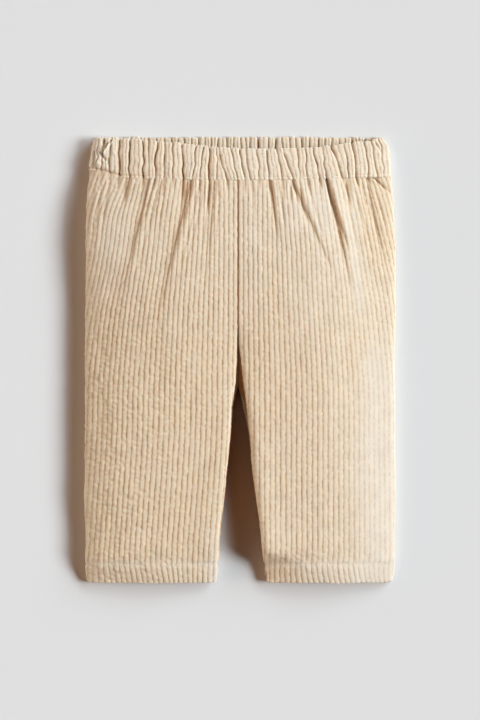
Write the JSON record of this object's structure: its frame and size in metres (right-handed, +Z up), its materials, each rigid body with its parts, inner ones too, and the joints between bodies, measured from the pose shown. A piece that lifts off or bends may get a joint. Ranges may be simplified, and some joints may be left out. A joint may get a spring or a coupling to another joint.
{
  "type": "corduroy trousers",
  "caption": "Small child's pull-on trousers of wide-wale corduroy, laid flat on their back, with a gathered elastic waist casing, straight legs and turned-up hems",
  "frame": {"origin": "on the surface that the trousers lie on, under the middle of their outline", "axes": "+Z up from the surface, through the back panels and then the fronts; +Y from the hems to the waist; +X to the wearer's left"},
  "size_m": [0.2428, 0.3481, 0.0276],
  "materials": {
    "corduroy": "cream cotton corduroy with wide, soft-napped wales"
  },
  "bodies": {
    "root": {"front_left": "corduroy", "front_right": "corduroy", "back_left": "corduroy", "back_right": "corduroy", "waistband_front": "corduroy", "waistband_back": "corduroy", "hem_front_left": "corduroy", "hem_front_right": "corduroy", "hem_back_left": "corduroy", "hem_back_right": "corduroy"}
  },
  "joints": []
}
